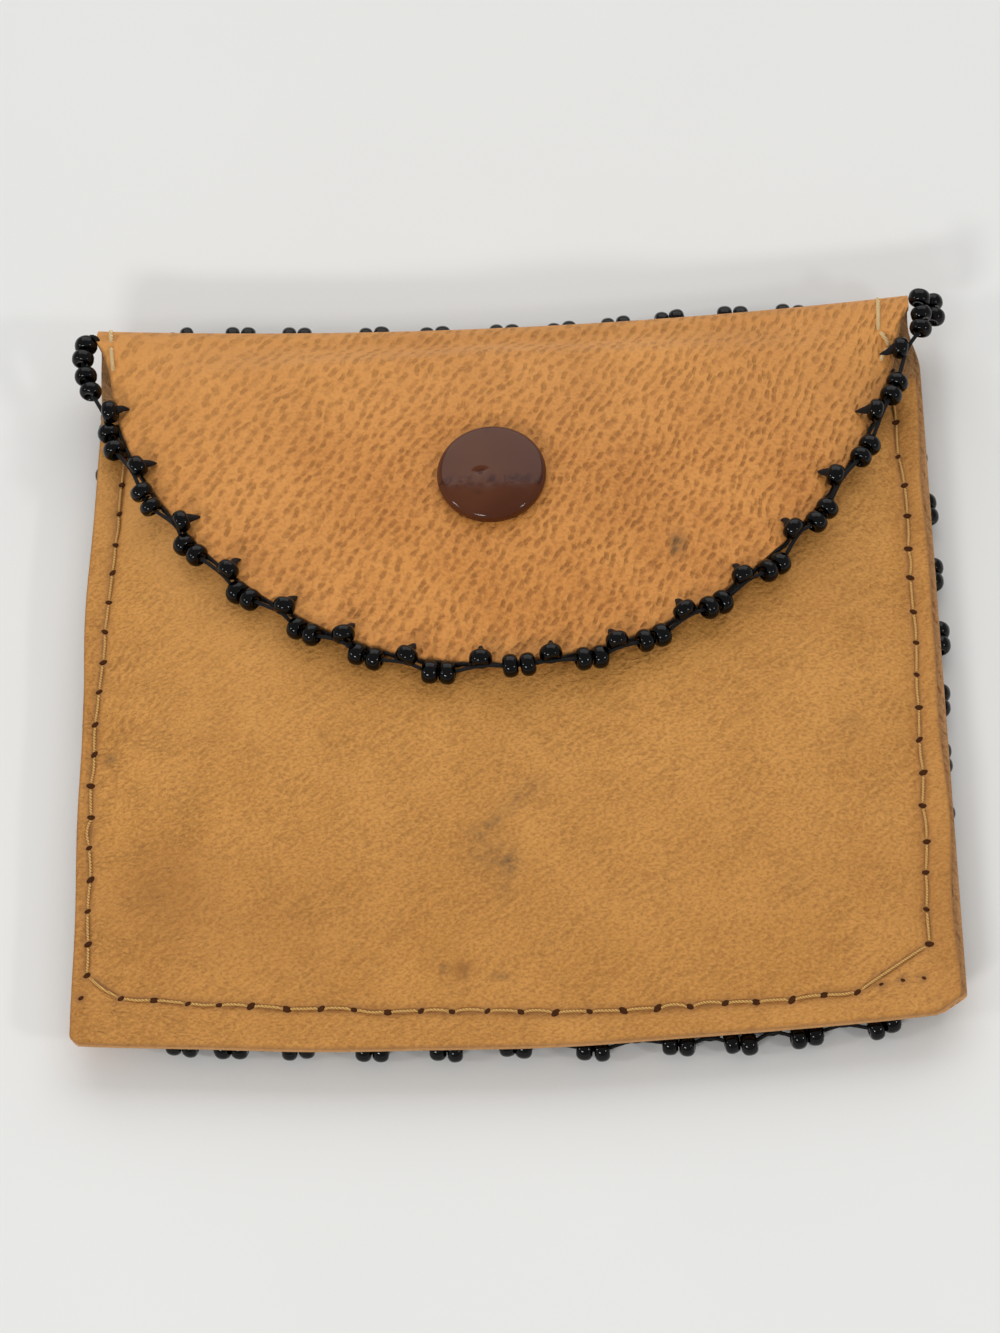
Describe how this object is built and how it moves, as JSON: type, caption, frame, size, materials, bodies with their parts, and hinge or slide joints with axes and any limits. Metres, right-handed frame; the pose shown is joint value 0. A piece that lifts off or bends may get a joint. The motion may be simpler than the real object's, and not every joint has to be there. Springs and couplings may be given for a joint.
{
  "type": "beaded coin purse",
  "caption": "Small flat leather purse with a rolled fold, a curved flap closed by a snap, a sewn front pocket and black bead edging on flap and back.",
  "frame": {"origin": "on the crest of the middle bead row of the back, in the middle of the middle lane, where the purse rests", "axes": "+Z out of the front face, +Y towards the fold, +X to the right seen from the front"},
  "size_m": [0.0993, 0.0939, 0.0151],
  "materials": {
    "leather": "pebbled, matt",
    "pocket_leather": "smooth, matt",
    "backing": "felted",
    "beads": "gloss, opaque",
    "cap_enamel": "gloss",
    "snap_metal": "satin"
  },
  "bodies": {
    "purse": {"back_panel": "leather", "front_pocket": "pocket_leather", "back_patch": "backing", "bead_lane_1": "beads", "bead_lane_2": "beads", "bead_lane_3": "beads", "bead_lane_4": "beads", "bead_lane_5": "beads", "bead_lane_6": "beads", "bead_lane_7": "beads", "back_edging": "beads", "snap_stud": "snap_metal", "snap_eyelet": "snap_metal"},
    "flap": {"flap": "leather", "flap_edging": "beads", "snap_cap": "cap_enamel", "snap_socket": "snap_metal", "snap_spring": "snap_metal"}
  },
  "joints": [
    {"name": "flap_fold", "type": "hinge", "parent": "purse", "child": "flap", "pos_m": [0, 0.04595, 0.0055], "axis": [-1, 0, 0], "range_deg": [0, 168]}
  ]
}
